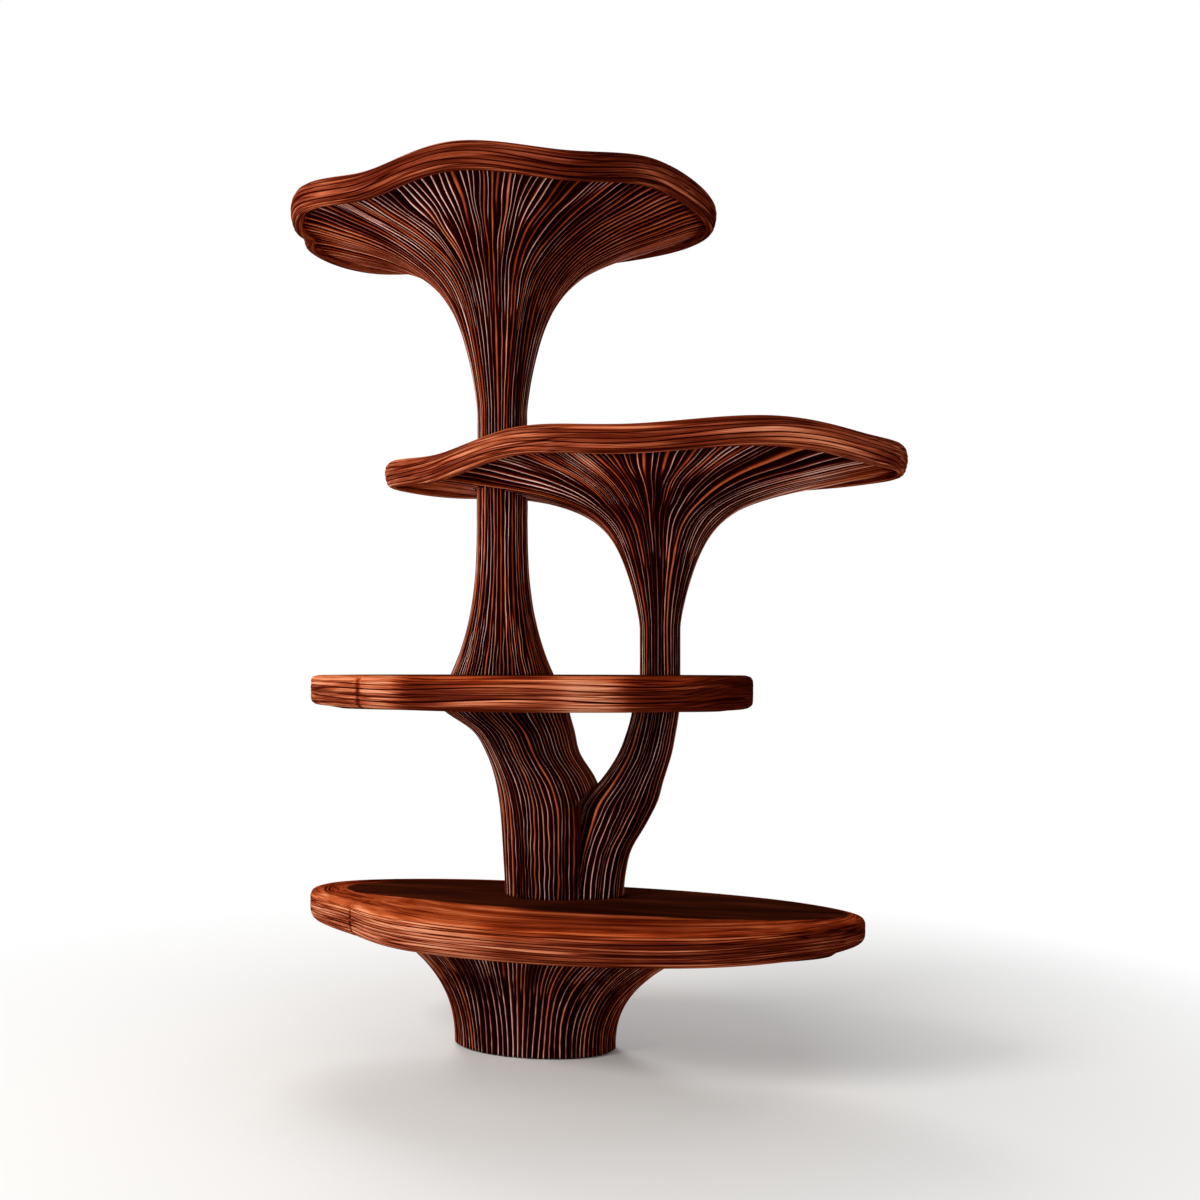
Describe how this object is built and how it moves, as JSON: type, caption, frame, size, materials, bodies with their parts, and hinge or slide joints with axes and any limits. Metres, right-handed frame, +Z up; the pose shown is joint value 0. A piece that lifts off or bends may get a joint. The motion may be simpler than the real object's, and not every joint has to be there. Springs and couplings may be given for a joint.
{
  "type": "mushroom-shaped bookshelf",
  "caption": "Free-standing sculptural wooden bookshelf: a forked, ribbed trunk carries slab shelves and gilled mushroom caps with wavy rims above a ribbed foot.",
  "frame": {"origin": "middle of the foot at floor level, on the underside of the felt sole; it lies on the line where the stems' plane meets the floor", "axes": "+Z up, +X to the right along the shelves seen from the front, +Y to the back"},
  "size_m": [1.0707, 0.5734, 1.4811],
  "materials": {
    "carved_foot": "red-brown stain, satin",
    "carved_trunk": "red-brown stain, satin",
    "carved_stem": "red-brown stain, satin",
    "cap_wood": "red-brown stain, satin",
    "shelf_wood": "red-brown stain, satin",
    "plug_wood": "red-brown stain, satin",
    "dowel_wood": "plain beech",
    "steel": "zinc plated",
    "felt": "dense wool felt"
  },
  "bodies": {
    "root": {"felt_sole": "felt", "foot": "carved_foot", "lower_shelf": "shelf_wood", "main_trunk": "carved_trunk", "side_trunk": "carved_trunk", "middle_shelf": "shelf_wood", "main_stem": "carved_stem", "side_stem": "carved_stem", "side_cap": "cap_wood", "upper_stem": "carved_stem", "top_cap": "cap_wood", "side_cap_plug": "plug_wood", "top_cap_plug": "plug_wood", "base_rod": "steel", "main_rod": "steel", "side_rod": "steel", "rod_nuts": "steel", "rod_washers": "steel", "side_trunk_screw": "steel", "side_trunk_screw_washer": "steel", "foot_dowels": "dowel_wood", "trunk_dowels": "dowel_wood", "side_trunk_dowel": "dowel_wood", "trunk_top_dowel": "dowel_wood", "side_trunk_top_dowel": "dowel_wood", "seam_dowels": "dowel_wood", "main_stem_dowel": "dowel_wood", "side_stem_dowel": "dowel_wood", "main_cap_dowel": "dowel_wood", "side_cap_dowels": "dowel_wood", "upper_stem_dowel": "dowel_wood", "top_cap_dowels": "dowel_wood"}
  },
  "joints": []
}
